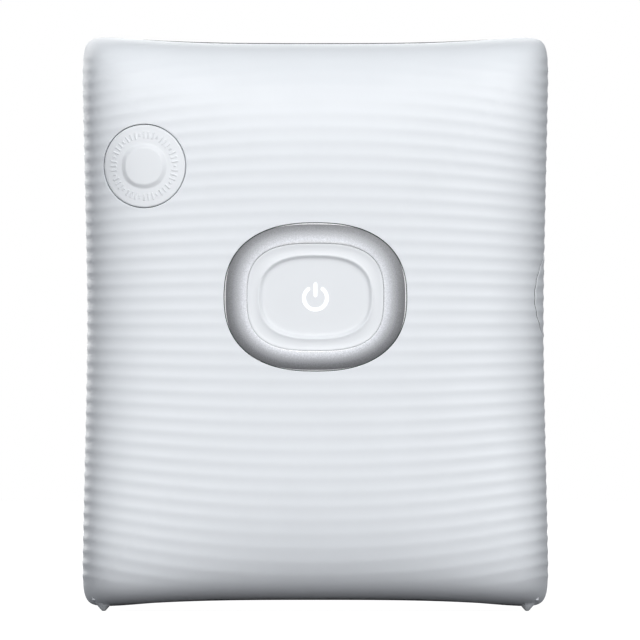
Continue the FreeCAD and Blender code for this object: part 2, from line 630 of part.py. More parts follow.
# ---------------------------------------------------------------------------
# Film door with its window, springs, pin and lock
# ---------------------------------------------------------------------------
panel = box(DOOR_X, (BACK_Y - BACK_WALL, BACK_Y), DOOR_Z)
corners = [e for e in panel.Edges if abs(e.tangentAt(0).y) > 0.9 and e.BoundBox.XMin > 0]
panel = panel.makeFillet(2.0, corners)
barrel = rod_z(HINGE_R, DOOR_X[0], HINGE_Y, DOOR_Z)
rib = box((-38.5, 38.5), (17.9, 18.7), (10.5, 101)).cut(box((-37, 37), (17, 19), (12, 99.5)))
rib = rib.cut(box((30, 40), (17, 18.6), (48, 66)))
door = fuse([panel, barrel, rib])
door = door.cut(rod_z(PIN_R, DOOR_X[0], HINGE_Y, (0, 120)))
window_rim = (WINDOW_Z[0] - 0.7, WINDOW_Z[1] + 0.7)
door = door.cut(box((-WINDOW_X, WINDOW_X), (18, 22), WINDOW_Z))
door = door.cut(box((-WINDOW_X - 0.7, WINDOW_X + 0.7), (18, 19.6), window_rim))
door = door.cut(box(LOCK_X, (20.2, 22), LOCK_Z))
door = door.cut(box((LOCK_X[0] + 1.8, LOCK_X[1] - 1.8), (17, 22), (LOCK_Z[0] + 4, LOCK_Z[1] - 4)))
parts["film_door"] = door
parts["door_window"] = fuse([box((-WINDOW_X - 0.7, WINDOW_X + 0.7), (18.6, 19.6), window_rim),
                             box((-WINDOW_X, WINDOW_X), (19.6, 21.1), WINDOW_Z)])
parts["door_pin"] = rod_z(PIN_R, DOOR_X[0], HINGE_Y, (6.2, 107.8))


def leaf(x):
    """Bowed leaf spring on the inside of the door."""
    outer = Part.Arc(V(x, 18.6, 22), V(x, 16.3, 57), V(x, 18.6, 92)).toShape()
    inner = Part.Arc(V(x, 18.6, 90), V(x, 16.6, 57), V(x, 18.6, 24)).toShape()
    ends = [Part.makeLine(V(x, 18.6, 92), V(x, 18.6, 90)), Part.makeLine(V(x, 18.6, 24), V(x, 18.6, 22))]
    return Part.Face(Part.Wire([outer, ends[0], inner, ends[1]])).extrude(V(14, 0, 0))


parts["door_springs"] = Part.makeCompound([leaf(-26), leaf(12)])
lock = fuse([box((30, 37), (20.3, 21.1), (LOCK_Z[0] + 0.5, LOCK_Z[1] - 0.5)),
             box((31.6, 35.4), (18.4, 20.4), (53.2, 60.8)),
             box((28, 41.0), (17.9, 18.5), (50, 64))])
for k in range(5):
    groove_x = (31 + k * 1.2, 31.5 + k * 1.2)
    lock = lock.cut(box(groove_x, (20.7, 22), (LOCK_Z[0] + 1.5, LOCK_Z[1] - 1.5)))
parts["door_lock"] = lock

# ---------------------------------------------------------------------------
# Screws
# ---------------------------------------------------------------------------
def cross_screw(head_r, head_h, shank_r, length):
    """Pan screw with its head's underside at Z = 0 and the shank downwards."""
    head = Part.makeCylinder(head_r, head_h)
    for turn in (0, 90):
        slot = box((-head_r * 0.6, head_r * 0.6), (-0.25, 0.25), (head_h * 0.4, head_h + 1))
        slot.rotate(V(0, 0, 0), V(0, 0, 1), turn)
        head = head.cut(slot)
    return fuse([head, Part.makeCylinder(shank_r, length, V(0, 0, -length))])


def placed(shape, at, along):
    moved = shape.copy()
    moved.Placement = FreeCAD.Placement(at, FreeCAD.Rotation(V(0, 0, 1), along))
    return moved


long_screw = cross_screw(1.9, 1.1, 1.0, 28.0)
parts["case_screws"] = Part.makeCompound(
    [placed(long_screw, V(x, 19.8, z), V(0, 1, 0)) for x, z in screw_spots])
small_screw = cross_screw(1.8, 1.0, 0.9, 5.8)
parts["board_screws"] = Part.makeCompound(
    [placed(small_screw, V(x, BOARD_Y[0], z), V(0, -1, 0)) for x, z in BOARD_HOLES])
frame_screw = cross_screw(1.5, 0.9, 0.8, 2.2)
parts["frame_screws"] = Part.makeCompound(
    [placed(frame_screw, V(x, FRAME_SCREW_Y, 105), V(0, 0, 1)) for x in (-FRAME_SCREW_X, FRAME_SCREW_X)])

# ---------------------------------------------------------------------------
# Export
# ---------------------------------------------------------------------------
for name, shape in parts.items():
    shape.exportStep("parts/" + name + ".step")
    print(name, len(shape.Solids), "solid(s)", round(shape.Volume, 1), "mm3", "valid", shape.isValid())
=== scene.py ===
import math

import bmesh
import bpy
import numpy as np
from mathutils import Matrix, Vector


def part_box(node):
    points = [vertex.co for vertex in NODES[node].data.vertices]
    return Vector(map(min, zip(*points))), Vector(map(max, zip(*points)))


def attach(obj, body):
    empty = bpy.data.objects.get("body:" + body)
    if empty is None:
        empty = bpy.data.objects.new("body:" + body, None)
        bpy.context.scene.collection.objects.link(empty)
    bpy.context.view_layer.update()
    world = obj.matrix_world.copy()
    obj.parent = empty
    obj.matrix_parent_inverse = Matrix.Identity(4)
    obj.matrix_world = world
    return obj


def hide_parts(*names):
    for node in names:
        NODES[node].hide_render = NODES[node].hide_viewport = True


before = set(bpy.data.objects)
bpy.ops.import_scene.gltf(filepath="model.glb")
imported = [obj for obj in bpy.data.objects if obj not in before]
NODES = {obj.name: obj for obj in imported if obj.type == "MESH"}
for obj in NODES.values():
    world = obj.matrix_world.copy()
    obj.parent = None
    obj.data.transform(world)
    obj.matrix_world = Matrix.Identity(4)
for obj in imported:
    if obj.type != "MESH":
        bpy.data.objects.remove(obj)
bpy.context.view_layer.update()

MM = 0.001              # shapes below are worked out in millimetres

# ---------------------------------------------------------------------------
# Driving dimensions, mm.  Places come from the CAD nodes.
# ---------------------------------------------------------------------------


def node_box(name):
    """Lowest and highest corner of a CAD node, in millimetres."""
    low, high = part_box(name)
    return np.array(low) / MM, np.array(high) / MM


def node_centre(name):
    low, high = node_box(name)
    return (low + high) / 2


COVER_LOW, COVER_HIGH = node_box("front_cover")
SPLIT_Y = float(COVER_HIGH[1])
BULGE = 19.7
BACK_Y = float(node_box("rear_frame")[1][1])
BACK_ROUND = 5.0
WALL, BACK_WALL = 2.0, 2.6
DOOR_GAP = 0.38
SCREW_R = 2.05          # recess round each case screw
DOOR_CORNERS = (0.8, 2.3)    # corner rounding of the door's opening, at the hinge and at the lock
MOUTH_ROLL = 0.25       # rounding round the door's opening
MID_Z = 63.1
WAIST_X, FLARE_X, WAIST_SOFT = 49.8, 0.0248, 12.0
WAIST_Z, FLARE_Z = 60.85, 1.87
PILLOW_POWER, PILLOW_EDGE = 7.0, 0.4
CORNER = 1.0            # how much fuller than the CAD cover the corners are, within the same box
SEAM_DIP = (0.6, 0.25)  # how far the cover stops short of the frame, at bottom and top
SEAM_X = (22.0, 42.0)   # half widths between which that fades out
SEAM_DRAFT = 9.0        # depth over which the frame reaches its full height

RIB_ZERO = 63.6         # height of the middle rib boundary
RIB_PITCH = 3.06        # pitch in the middle of the front
RIB_FAN = 0.098         # how much the pitch narrows towards the sides
RIB_REACH = 49.2        # half width at which the fan ends
RIB_COUNT = (18.9, 21.4)     # ribs above and below the middle, in the middle and at the sides
RIB_DEPTH = (0.04, 0.125)    # crest to valley, in the middle and at the sides

POWER_Z = float(node_centre("power_ring")[2])
RING_A, RING_B, RING_POWER = 19.8, 16.05, 2.4
RING_GAP = 0.16
BUTTON_A, BUTTON_B, BUTTON_POWER = 14.9, 11.7, 2.9
BUTTON_GAP = 0.03
DISH_A, DISH_B, DISH_POWER = 12.0, 8.75, 2.6
DISH_DEEP, DISH_EDGE = 0.65, 1.2     # depth of the dish, and width of the slope inside its edge
MARK_R, MARK_LINE = 2.5, 0.8         # power symbol: radius and line width

FUNC_X, FUNC_Z = -37.3, 97.0
FUNC_R, FUNC_GAP = 9.0, 0.16
PAD_POWER = 2.2         # superellipse power of its raised pad
PAD_A, PAD_B, PAD_HIGH = 5.0, 4.95, 0.55
MARK_COUNT = 44         # raised marks round the pad

PORT_R, PORT_GAP, PORT_CORNER = 9.2, 0.3, 0.8
PORT_LONG = 1.17        # how much longer than round its front end is
PORT_MID_Y, PORT_Z = float(node_box("port_cover")[0][1]) + PORT_R, float(node_centre("port_cover")[2])


# ---------------------------------------------------------------------------
# Shell surface: the CAD shell's formulas on arrays, with fuller corners
# ---------------------------------------------------------------------------
def half_width(z):
    return WAIST_X + FLARE_X * (np.hypot(z - MID_Z, WAIST_SOFT) - WAIST_SOFT)


def half_height(x):
    return WAIST_Z + FLARE_Z * (np.abs(x) / 50.0) ** 3


def pillow(u):
    return np.clip(1.0 - np.abs(u) ** PILLOW_POWER, 0.0, 1.0) ** PILLOW_EDGE


def depth_share(u, v):
    """Share of the full depth, the corners rolled tighter than the sides."""
    plain = pillow(u) + pillow(v) - 1.0
    full = 1.0 - np.clip(1.0 - plain, 0.0, 1.0) ** (1.0 + CORNER * (u * v) ** 2)
    return np.where(plain > 0, full, plain)


def front_y(x, z):
    u = x / half_width(z)
    v = (z - MID_Z) / half_height(x)
    return SPLIT_Y - BULGE * depth_share(u, v)


def side_x(y, z):
    """X of the right side at that depth and height."""
    share = np.maximum(0.0, (SPLIT_Y - y) / BULGE)
    low, high = np.full_like(share, 0.5), np.ones_like(share)
    for _ in range(40):
        u = (low + high) / 2
        v = (z - MID_Z) / half_height(u * half_width(z))
        inside = depth_share(u, v) > share
        low, high = np.where(inside, u, low), np.where(inside, high, u)
    return u * half_width(z)


def smooth_step(low, high, value):
    t = np.clip((value - low) / (high - low), 0.0, 1.0)
    return t * t * (3 - 2 * t)


def rib_height(x, z):
    """Height of the wave ribs over the smooth shell."""
    pitch = RIB_PITCH * (1.0 - RIB_FAN * np.minimum(1.0, np.abs(x) / RIB_REACH) ** 2)
    n = (RIB_ZERO - z) / pitch
    wave = ((1.0 + np.cos(2 * np.pi * (n - 0.27))) / 2) ** 1.3
    side = np.minimum(1.0, np.abs(x) / RIB_REACH) ** 2
    count = RIB_COUNT[0] + (RIB_COUNT[1] - RIB_COUNT[0]) * side
    fade = 1.0 - smooth_step(count - 1.4, count, np.abs(n))
    return (RIB_DEPTH[0] + (RIB_DEPTH[1] - RIB_DEPTH[0]) * side) * (wave - 0.45) * fade


def seam_shift(x, v):
    """How far the cover's upper and lower edge move towards the middle."""
    dip = np.where(v < 0, SEAM_DIP[0], -SEAM_DIP[1])
    return dip * (1 - smooth_step(SEAM_X[0], SEAM_X[1], np.abs(x))) * smooth_step(0.8, 1.0, np.abs(v))


def even_share(width, depth, count):
    """Shares from -1 to 1, evenly spaced along the pillow's section."""
    u = 1.0 - np.linspace(1.0, 0.0, 4000) ** 3
    px, py = u * width, depth * pillow(u)
    run = np.concatenate([[0.0], np.cumsum(np.hypot(np.diff(px), np.diff(py)))])
    half = np.interp(np.linspace(0.0, run[-1], count // 2 + 1), run, u)
    return np.concatenate([-half[:0:-1], half])


def outline_reach(s, t):
    """How far the ray through (s, t) reaches before the outline, for a ray whose larger part is 1."""
    big = np.maximum(np.maximum(np.abs(s), np.abs(t)), 1e-9)
    du, dv = np.abs(s) / big, np.abs(t) / big
    low, high = np.zeros_like(du), np.ones_like(du)
    for _ in range(50):
        mid = (low + high) / 2
        inside = pillow(mid * du) + pillow(mid * dv) > 1.0
        low = np.where(inside, mid, low)
        high = np.where(inside, high, mid)
    return low


def shell_xz(u, v):
    x, z = np.zeros_like(u), np.full_like(u, MID_Z)
    for _ in range(8):
        x = u * half_width(z)
        z = MID_Z + v * half_height(x)
    return x, z


def grid_normals(p):
    """Unit normals of a grid of points, from its own tangents."""
    n = np.cross(np.gradient(p, axis=0), np.gradient(p, axis=1))
    return n / np.maximum(np.linalg.norm(n, axis=-1, keepdims=True), 1e-12)


# ---------------------------------------------------------------------------
# Mesh helpers
# ---------------------------------------------------------------------------
SHARP = math.radians(32)


def mark_sharp(mesh, angle=SHARP):
    """Smooth shading with sharp edges where faces meet at more than the angle."""
    bm = bmesh.new()
    bm.from_mesh(mesh)
    for face in bm.faces:
        face.smooth = True
    for edge in bm.edges:
        edge.smooth = len(edge.link_faces) == 2 and edge.calc_face_angle(0) < angle
    bm.to_mesh(mesh)
    bm.free()


def new_object(name, verts, faces):
    mesh = bpy.data.meshes.new(name)
    mesh.from_pydata([tuple(v) for v in np.asarray(verts) * MM], [], faces)
    mesh.update()
    obj = bpy.data.objects.new(name, mesh)
    bpy.context.scene.collection.objects.link(obj)
    return obj


def grid_faces(rows, cols, closed=False, start=0):
    """Quads of a grid of rows by cols points; closed joins the last column to the first."""
    faces = []
    span = cols if closed else cols - 1
    for i in range(rows - 1):
        for j in range(span):
            k = (j + 1) % cols
            faces.append((start + i * cols + j, start + i * cols + k,
                          start + (i + 1) * cols + k, start + (i + 1) * cols + j))
    return faces


def fix_normals(obj):
    bm = bmesh.new()
    bm.from_mesh(obj.data)
    bmesh.ops.remove_doubles(bm, verts=bm.verts, dist=1e-7)
    bmesh.ops.recalc_face_normals(bm, faces=bm.faces)
    bm.to_mesh(obj.data)
    bm.free()


def rings_object(name, rings, cap_first=True, cap_last=True):
    """Closed solid through a list of closed rings with the same number of points."""
    rings = [np.asarray(r, float) for r in rings]
    cols = len(rings[0])
    verts = np.concatenate(rings)
    faces = grid_faces(len(rings), cols, closed=True)
    if cap_first:
        faces.append(tuple(reversed(range(cols))))
    if cap_last:
        faces.append(tuple(range((len(rings) - 1) * cols, len(rings) * cols)))
    obj = new_object(name, verts, faces)
    fix_normals(obj)
    return obj


def cut(obj, *cutters):
    """Boolean difference with all cutters at once, kept in the mesh."""
    tool = join("cutters", cutters)
    fix_normals(tool)
    mod = obj.modifiers.new("cut", "BOOLEAN")
    mod.operation = "DIFFERENCE"
    mod.solver = "EXACT"
    mod.object = tool
    graph = bpy.context.evaluated_depsgraph_get()
    mesh = bpy.data.meshes.new_from_object(obj.evaluated_get(graph))
    obj.modifiers.clear()
    obj.data = mesh
    bpy.data.objects.remove(tool)
    return obj


def join(name, objects):
    """One object from several separate pieces."""
    verts, faces = [], []
    for obj in objects:
        start = len(verts)
        verts += [np.array(v.co) / MM for v in obj.data.vertices]
        faces += [tuple(start + i for i in p.vertices) for p in obj.data.polygons]
        bpy.data.objects.remove(obj)
    return new_object(name, verts, faces)


def finish_piece(obj, material, body, slot, *nodes):
    mark_sharp(obj.data)
    obj.data.materials.clear()
    obj.data.materials.append(material)
    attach(obj, body)
    if nodes:
        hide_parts(*nodes)
    return obj


def superellipse(a, b, power, count, centre=(0.0, 0.0)):
    """Points of a superellipse, evenly spread along its line, as (x, z)."""
    t = np.linspace(0, 2 * np.pi, 4001)
    c, s = np.cos(t), np.sin(t)
    x = a * np.sign(c) * np.abs(c) ** (2 / power)
    z = b * np.sign(s) * np.abs(s) ** (2 / power)
    run = np.concatenate([[0], np.cumsum(np.hypot(np.diff(x), np.diff(z)))])
    at = np.linspace(0, run[-1], count + 1)[:-1]
    return np.stack([np.interp(at, run, x) + centre[0], np.interp(at, run, z) + centre[1]], axis=1)


# ---------------------------------------------------------------------------
# Materials
# ---------------------------------------------------------------------------
class Material:
    """Small builder for a node material round one Principled shader."""

    def __init__(self, name, color, rough, metal=0.0, **sockets):
        self.mat = bpy.data.materials.new(name)
        self.mat.use_nodes = True
        self.tree = self.mat.node_tree
        self.bsdf = self.tree.nodes["Principled BSDF"]
        self.set("Base Color", (*color, 1.0))
        self.set("Roughness", rough)
        self.set("Metallic", metal)
        for key, value in sockets.items():
            self.set(key.replace("_", " "), value)
        self.height = None

    def set(self, socket, value):
        self.bsdf.inputs[socket].default_value = value

    def node(self, kind, **values):
        made = self.tree.nodes.new(kind)
        for key, value in values.items():
            if key in made.inputs:
                made.inputs[key].default_value = value
            else:
                setattr(made, key, value)
        return made

    def link(self, a, b):
        self.tree.links.new(a, b)

    def coords(self):
        return self.node("ShaderNodeTexCoord").outputs["Object"]

    def noise(self, per_mm, detail=2.0, rough=0.5, stretch=(1, 1, 1)):
        """Noise with that many cells per millimetre."""
        mapping = self.node("ShaderNodeMapping")
        mapping.inputs["Scale"].default_value = [s / MM * per_mm for s in stretch]
        self.link(self.coords(), mapping.inputs["Vector"])
        tex = self.node("ShaderNodeTexNoise")
        tex.inputs["Scale"].default_value = 1.0
        tex.inputs["Detail"].default_value = detail
        tex.inputs["Roughness"].default_value = rough
        self.link(mapping.outputs["Vector"], tex.inputs["Vector"])
        return tex.outputs["Fac"]

    def voronoi(self, per_mm, feature="F1", stretch=(1, 1, 1)):
        mapping = self.node("ShaderNodeMapping")
        mapping.inputs["Scale"].default_value = [s / MM * per_mm for s in stretch]
        self.link(self.coords(), mapping.inputs["Vector"])
        tex = self.node("ShaderNodeTexVoronoi")
        tex.feature = feature
        tex.inputs["Scale"].default_value = 1.0
        self.link(mapping.outputs["Vector"], tex.inputs["Vector"])
        return tex.outputs["Distance"]

    def ramp(self, value, low, high):
        """Value between 0 and 1 mapped to low and high."""
        node = self.node("ShaderNodeMapRange")
        node.inputs["From Min"].default_value = 0.3
        node.inputs["From Max"].default_value = 0.7
        node.inputs["To Min"].default_value = low
        node.inputs["To Max"].default_value = high
        self.link(value, node.inputs["Value"])
        return node.outputs["Result"]

    def vary_color(self, value, dark, light):
        node = self.node("ShaderNodeMix")
        node.data_type = "RGBA"
        node.inputs["A"].default_value = (*dark, 1.0)
        node.inputs["B"].default_value = (*light, 1.0)
        mapped = self.ramp(value, 0.0, 1.0)
        self.link(mapped, node.inputs["Factor"])
        self.link(node.outputs["Result"], self.bsdf.inputs["Base Color"])
        return node.outputs["Result"]

    def vary_rough(self, value, low, high):
        self.link(self.ramp(value, low, high), self.bsdf.inputs["Roughness"])

    def bump(self, value, height_mm, strength=1.0):
        node = self.node("ShaderNodeBump")
        node.inputs["Distance"].default_value = height_mm * MM
        node.inputs["Strength"].default_value = strength
        self.link(value, node.inputs["Height"])
        if self.height is not None:
            self.link(self.height, node.inputs["Normal"])
        self.height = node.outputs["Normal"]
        self.link(self.height, self.bsdf.inputs["Normal"])


def plastic(name, color, rough, grain_mm=0.25, grain=0.004, shade=0.03, **sockets):
    """Moulded plastic: fine spark-eroded grain, a slight mottle and slightly uneven gloss."""
    m = Material(name, color, rough, **sockets)
    light = tuple(min(1.0, c * (1 + shade)) for c in color)
    dark = tuple(c * (1 - shade) for c in color)
    m.vary_color(m.noise(0.12, 3.0), dark, light)
    m.vary_rough(m.noise(0.6, 3.0), rough - 0.04, rough + 0.04)
    m.bump(m.noise(1 / grain_mm, 3.0, 0.6), grain)
    return m.mat


def metal(name, color, rough, brush=(1, 1, 1), depth=0.003, **sockets):
    """Metal with a drawn or rolled surface."""
    m = Material(name, color, rough, 1.0, **sockets)
    dark = tuple(c * 0.86 for c in color)
    m.vary_color(m.noise(0.5, 4.0, stretch=brush), dark, color)
    m.vary_rough(m.noise(1.2, 4.0, stretch=brush), rough - 0.07, rough + 0.09)
    m.bump(m.noise(5.0, 3.0, stretch=brush), depth)
    return m.mat


SHELL = plastic("shell_white", (0.80, 0.825, 0.855), 0.40, shade=0.008, grain=0.0015)
CASING = plastic("casing_white", (0.79, 0.815, 0.845), 0.42, shade=0.01, grain=0.002)
BUTTON = plastic("button_white", (0.82, 0.84, 0.865), 0.36, shade=0.006, grain=0.001)
BLACK = plastic("black_plastic", (0.016, 0.016, 0.017), 0.55, grain=0.012, shade=0.25)
# Dark trim colour, also used on the port cap's sunken edge walls as painted shadow in its gap.
TRIM_AND_GAP_SHADE = plastic("dark_trim", (0.05, 0.052, 0.056), 0.45, grain=0.006, shade=0.15)
NYLON = plastic("gear_nylon", (0.80, 0.78, 0.70), 0.38, grain=0.004, shade=0.03)
SWITCH = plastic("switch_black", (0.02, 0.02, 0.022), 0.4, grain=0.006, shade=0.2)
CONNECTOR = plastic("connector_white", (0.74, 0.71, 0.62), 0.45, grain=0.004, shade=0.05)
FOOT = plastic("foot_grey", (0.66, 0.68, 0.71), 0.6, grain=0.004, shade=0.03)
RUBBER = plastic("roller_rubber", (0.022, 0.022, 0.024), 0.75, grain_mm=0.12, grain=0.015, shade=0.3)
FOAM = plastic("foam_black", (0.02, 0.02, 0.02), 0.95, grain_mm=0.35, grain=0.08, shade=0.4)
CELL = plastic("cell_wrap", (0.42, 0.44, 0.47), 0.3, grain_mm=0.8, grain=0.02, shade=0.06, Metallic=0.6)
LEAD = plastic("lead_red", (0.50, 0.02, 0.02), 0.4, grain=0.004, shade=0.08)
FLEX = plastic("flex_amber", (0.48, 0.20, 0.03), 0.3, grain_mm=0.6, grain=0.004, shade=0.12)
LED = plastic("led_cream", (0.88, 0.82, 0.50), 0.25, grain=0.001, shade=0.04)
# White print ink whose emission is painted light: it makes the mark glow brighter than its lighting gives.
INK_WITH_PAINTED_GLOW = plastic("ink_white_with_painted_glow", (0.93, 0.93, 0.93), 0.5, grain=0.001, shade=0.01,
              Emission_Color=(1, 1, 1, 1), Emission_Strength=0.3)
SMOKE = plastic("smoke_window", (0.018, 0.018, 0.02), 0.12, grain_mm=1.5, grain=0.001, shade=0.1)
STEEL = metal("drawn_steel", (0.60, 0.60, 0.60), 0.28, brush=(0.06, 1, 1))
SPRING = metal("spring_steel", (0.50, 0.50, 0.51), 0.32, brush=(1, 1, 0.06))
TIN = metal("shield_tin", (0.66, 0.66, 0.64), 0.35, brush=(1, 1, 0.15))
BRONZE = metal("bronze", (0.55, 0.36, 0.18), 0.45)
SCREW = metal("screw_steel", (0.36, 0.37, 0.39), 0.35)


def board_material():
    """Green solder mask over copper tracks, seen as raised lines."""
    m = Material("board_green", (0.01, 0.11, 0.045), 0.35)
    tracks = m.voronoi(0.35, "DISTANCE_TO_EDGE")
    line = m.node("ShaderNodeMapRange")
    line.inputs["From Min"].default_value = 0.02
    line.inputs["From Max"].default_value = 0.06
    m.link(tracks, line.inputs["Value"])
    mix = m.node("ShaderNodeMix")
    mix.data_type = "RGBA"
    mix.inputs["A"].default_value = (0.03, 0.26, 0.09, 1.0)
    mix.inputs["B"].default_value = (0.008, 0.10, 0.04, 1.0)
    m.link(line.outputs["Result"], mix.inputs["Factor"])
    m.link(mix.outputs["Result"], m.bsdf.inputs["Base Color"])
    m.bump(line.outputs["Result"], -0.02)
    return m.mat


def diffuser_material():
    m = Material("diffuser", (0.86, 0.88, 0.90), 0.3, Transmission_Weight=0.35)
    m.vary_rough(m.noise(1.0, 3.0), 0.25, 0.38)
    m.bump(m.noise(3.0, 2.0), 0.002)
    return m.mat


def lens_material():
    m = Material("lens_glass", (0.72, 0.80, 0.82), 0.08, Transmission_Weight=0.6, IOR=1.6)
    rods = m.voronoi(1.4)
    m.bump(rods, 0.05)
    m.vary_rough(rods, 0.05, 0.2)
    return m.mat


def silver_material():
    """Metallic lacquer with fine flakes, its colour painted with shade and light: darker towards the ring's
    outer edge, near white at its inner edge and on its outermost rim.
    """
    m = Material("silver_trim", (0.6, 0.6, 0.62), 0.42, 0.25)
    split = m.node("ShaderNodeSeparateXYZ")
    m.link(m.coords(), split.inputs["Vector"])

    def power(value, offset, scale):
        shifted = m.node("ShaderNodeMath", operation="SUBTRACT")
        m.link(value, shifted.inputs[0])
        shifted.inputs[1].default_value = offset
        size = m.node("ShaderNodeMath", operation="ABSOLUTE")
        m.link(shifted.outputs[0], size.inputs[0])
        share = m.node("ShaderNodeMath", operation="DIVIDE")
        m.link(size.outputs[0], share.inputs[0])
        share.inputs[1].default_value = scale
        raised = m.node("ShaderNodeMath", operation="POWER")
        m.link(share.outputs[0], raised.inputs[0])
        raised.inputs[1].default_value = 2.6
        return raised.outputs[0]

    total = m.node("ShaderNodeMath", operation="ADD")
    m.link(power(split.outputs["X"], 0.0, RING_A * MM), total.inputs[0])
    m.link(power(split.outputs["Z"], POWER_Z * MM, RING_B * MM), total.inputs[1])
    # Painted shade and light: this ramp over the ring's radial share darkens the colour towards the outer
    # edge, lightens it near the inner edge and gives the outermost rim a painted highlight.
    ramp = m.node("ShaderNodeValToRGB")
    m.link(total.outputs[0], ramp.inputs["Fac"])
    stops = ramp.color_ramp.elements
    stops[0].position, stops[0].color = 0.42, (0.92, 0.92, 0.93, 1)
    stops[1].position, stops[1].color = 0.972, (0.92, 0.92, 0.93, 1)
    for place, grey in ((0.52, 0.82), (0.66, 0.50), (0.80, 0.28), (0.90, 0.21), (0.962, 0.18)):
        stops.new(place).color = (grey * 0.96, grey * 0.98, grey * 1.03, 1)
    flake = m.node("ShaderNodeMix")
    flake.data_type = "RGBA"
    flake.blend_type = "MULTIPLY"
    flake.inputs["Factor"].default_value = 1.0
    grey = m.ramp(m.noise(4.5, 2.0, 0.8), 0.74, 1.06)
    m.link(ramp.outputs["Color"], flake.inputs["A"])
    m.link(grey, flake.inputs["B"])
    m.link(flake.outputs["Result"], m.bsdf.inputs["Base Color"])
    m.bump(m.noise(6.0, 1.0), 0.012)
    return m.mat


BOARD = board_material()
DIFFUSER = diffuser_material()
LENS = lens_material()
SILVER = silver_material()


# ---------------------------------------------------------------------------
# Shell
# ---------------------------------------------------------------------------
def rim_of(rows, cols):
    """Indices round the edge of a grid, in order."""
    top = [j for j in range(cols)]
    right = [i * cols + cols - 1 for i in range(1, rows)]
    bottom = [(rows - 1) * cols + j for j in range(cols - 2, -1, -1)]
    left = [i * cols for i in range(rows - 2, 0, -1)]
    return top + right + bottom + left


def close_with_inner(name, outer, inner, ratio):
    """Outer grid and a coarser inner grid, joined round their rims in the split plane."""
    rows, cols = outer.shape[:2]
    in_rows, in_cols = inner.shape[:2]
    start = rows * cols
    verts = np.concatenate([outer.reshape(-1, 3), inner.reshape(-1, 3)])
    faces = grid_faces(rows, cols) + grid_faces(in_rows, in_cols, start=start)
    big, small = rim_of(rows, cols), rim_of(in_rows, in_cols)
    for k in range(len(small)):
        strip = [big[(k * ratio + m) % len(big)] for m in range(ratio + 1)]
        faces.append(tuple(strip + [start + small[(k + 1) % len(small)], start + small[k]]))
    obj = new_object(name, verts, faces)
    fix_normals(obj)
    return obj


def front_grid(cols, rows, inset=0.0, every=1):
    ribs = inset == 0
    s = even_share(WAIST_X, BULGE, cols)[::every]
    t = even_share(WAIST_Z, BULGE, rows)[::every]
    tt, ss = np.meshgrid(t, s, indexing="ij")
    reach = outline_reach(ss, tt)
    x, z = shell_xz(ss * reach, tt * reach)
    y = front_y(x, z)
    edge = np.maximum(np.abs(ss), np.abs(tt)) > 1 - 1e-9
    y = np.where(edge, SPLIT_Y, y)
    deep = np.clip((SPLIT_Y - y) / BULGE, 0.0, 1.0)
    p = np.stack([x, y, z + seam_shift(x, tt * reach) * (1 - deep) ** 3], axis=-1)
    n = grid_normals(p)
    if n[len(t) // 2, len(s) // 2, 1] > 0:
        n = -n
    n[edge] += 0.001 * np.stack([ss, ss * 0, tt], axis=-1)[edge]
    n[edge, 1] = 0.0
    n /= np.linalg.norm(n, axis=-1, keepdims=True)
    shift = rib_height(x, z) if ribs else -inset
    return p + n * (shift[..., None] if ribs else shift)


def front_rib_y(x, z):
    """Y of the ribbed front, for hole edges that follow it."""
    step = 0.01
    dx = (front_y(x + step, z) - front_y(x - step, z)) / (2 * step)
    dz = (front_y(x, z + step) - front_y(x, z - step)) / (2 * step)
    return front_y(x, z) - rib_height(x, z) * np.sqrt(1 + dx * dx + dz * dz)


def oval_cutter(name, a, b, power, roll=0.08, depth=6.0):
    """Prism through the front whose mouth is rolled over the surface."""
    steps = [(roll, -2.0)] + [(wide, -high) for wide, high in round_cutter_profile(roll, depth)[1:]]
    rings = []
    for wide, deep in steps:
        q = superellipse(a + wide, b + wide, power, 240, (0.0, POWER_Z))
        y = front_rib_y(q[:, 0], q[:, 1]) + deep
        rings.append(np.stack([q[:, 0], y, q[:, 1]], axis=1))
    return rings_object(name, rings)


def round_cutter_profile(roll, depth):
    """Steps of a rolled mouth: how much wider, and how high over the surface."""
    steps = [(roll, 2.0), (roll, 0.0)]
    for t in np.radians([30, 60, 90]):
        steps.append((roll * (1 - math.sin(t)), -roll * (1 - math.cos(t))))
    return steps + [(0.0, -depth)]


def function_axes():
    """Centre on the smooth front, and the across, up and outward directions there."""
    x, z, step = FUNC_X, FUNC_Z, 0.01
    dx = (front_y(x + step, z) - front_y(x - step, z)) / (2 * step)
    dz = (front_y(x, z + step) - front_y(x, z - step)) / (2 * step)
    out = np.array([dx, -1.0, dz])
    out /= np.linalg.norm(out)
    across = np.cross(np.array([0, 0, 1.0]), out)
    across /= np.linalg.norm(across) * np.sign(across[0])
    up = np.cross(across, out)
    up *= np.sign(up[2])
    return np.array([x, front_y(x, z), z]), across, up, out


FUNC_CENTRE, FUNC_ACROSS, FUNC_UP, FUNC_OUT = function_axes()


def function_surface(lx, ly, ribs=False):
    """Height of the shell over the function button's plane."""
    h = np.zeros_like(lx)
    surface = front_rib_y if ribs else front_y
    for _ in range(12):
        p = (FUNC_CENTRE + lx[..., None] * FUNC_ACROSS + ly[..., None] * FUNC_UP + h[..., None] * FUNC_OUT)
        h = h + (surface(p[..., 0], p[..., 2]) - p[..., 1]) / FUNC_OUT[1] * 0.9
    return h


def function_points(lx, ly, h):
    return FUNC_CENTRE + lx[..., None] * FUNC_ACROSS + ly[..., None] * FUNC_UP + h[..., None] * FUNC_OUT


def function_cutter():
    angle = np.linspace(0, 2 * np.pi, 181)[:-1]
    rings = []
    for wide, high in round_cutter_profile(0.12, 9.0):
        r = FUNC_R + FUNC_GAP + wide
        lx, ly = r * np.cos(angle), r * np.sin(angle)
        rings.append(function_points(lx, ly, function_surface(lx, ly, True) + high))
    return rings_object("function_cutter", rings)


